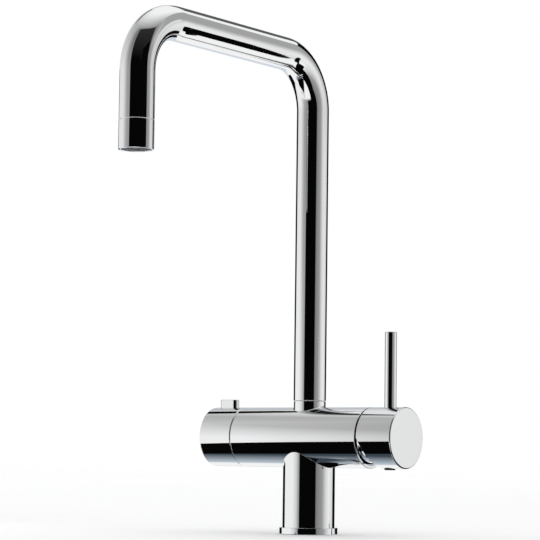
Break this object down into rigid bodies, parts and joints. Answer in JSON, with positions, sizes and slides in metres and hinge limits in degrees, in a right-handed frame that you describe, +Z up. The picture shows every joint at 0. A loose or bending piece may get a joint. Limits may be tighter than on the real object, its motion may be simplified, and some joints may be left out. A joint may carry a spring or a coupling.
{
  "type": "kitchen mixer tap",
  "caption": "Deck-mounted kitchen mixer tap with a square-U swivel spout, a side lever handle for flow and temperature and a shut-off knob.",
  "frame": {"origin": "centre of the pillar's foot, in the plane of the deck", "axes": "+Z up along the pillar, +X along the barrel towards the mixing handle, -Y the way the spout points"},
  "size_m": [0.1766, 0.2492, 0.3775],
  "materials": {
    "chrome": "polished chrome plate",
    "brass": "turned, unplated",
    "steel": "plain stainless",
    "rubber": "moulded, matt",
    "ceramic": "lapped, glossy",
    "white_plastic": "moulded",
    "grey_plastic": "moulded",
    "black_plastic": "moulded"
  },
  "bodies": {
    "base": {"body_barrel": "chrome", "pillar": "chrome", "base_ring": "chrome", "base_gasket": "rubber", "cartridge_base": "white_plastic", "cartridge_base_seals": "rubber", "cartridge_fixed_disc": "ceramic", "cartridge_housing": "white_plastic", "cartridge_nut": "brass", "cartridge_dome": "chrome", "shutoff_headwork": "brass", "shutoff_seat_seal": "rubber", "shutoff_fixed_disc": "ceramic", "knob_guide_ring": "white_plastic", "spout_slide_ring": "white_plastic", "spout_lower_bush": "white_plastic", "spout_lock_screw": "steel"},
    "mixer_carrier": {"cartridge_carrier": "white_plastic", "cartridge_pivot_pin": "steel"},
    "mixing_disc": {"cartridge_moving_disc": "ceramic", "cartridge_disc_driver": "white_plastic"},
    "handle": {"cartridge_stem": "steel", "handle_hub": "chrome", "handle_lever": "chrome", "handle_set_screw": "steel", "handle_plug": "black_plastic"},
    "shutoff_knob": {"shutoff_moving_disc": "ceramic", "shutoff_spindle": "brass", "shutoff_spindle_o_rings": "rubber", "shutoff_spindle_clip": "steel", "knob_insert": "white_plastic", "knob_shell": "chrome", "knob_tab": "chrome", "knob_set_screw": "steel"},
    "spout": {"spout_tube": "chrome", "spout_spigot": "brass", "spout_o_rings": "rubber", "outlet_sleeve": "chrome", "aerator_seal": "rubber", "aerator_housing": "grey_plastic", "aerator_grid": "grey_plastic", "aerator_diffuser": "grey_plastic", "aerator_strainer": "steel"}
  },
  "joints": [
    {"name": "spout_swivel", "type": "hinge", "parent": "base", "child": "spout", "pos_m": [0, 0, 0.101], "axis": [0, 0, 1], "range_deg": [-60, 60]},
    {"name": "temperature_turn", "type": "hinge", "parent": "base", "child": "mixer_carrier", "pos_m": [0.052, 0, 0.0735], "axis": [1, 0, 0], "range_deg": [-45, 45]},
    {"name": "flow_tilt", "type": "hinge", "parent": "mixer_carrier", "child": "handle", "pos_m": [0.052, 0, 0.0735], "axis": [0, 1, 0], "range_deg": [0, 25]},
    {"name": "disc_slide", "type": "slide", "parent": "mixer_carrier", "child": "mixing_disc", "axis": [0, 0, 1], "range_m": [0, 0.00402]},
    {"name": "shutoff_turn", "type": "hinge", "parent": "base", "child": "shutoff_knob", "pos_m": [-0.074, 0, 0.0735], "axis": [1, 0, 0], "range_deg": [0, 90]}
  ],
  "couplings": [
    {"joint": "disc_slide", "follows": "flow_tilt", "m_per_rad": 0.0092}
  ]
}
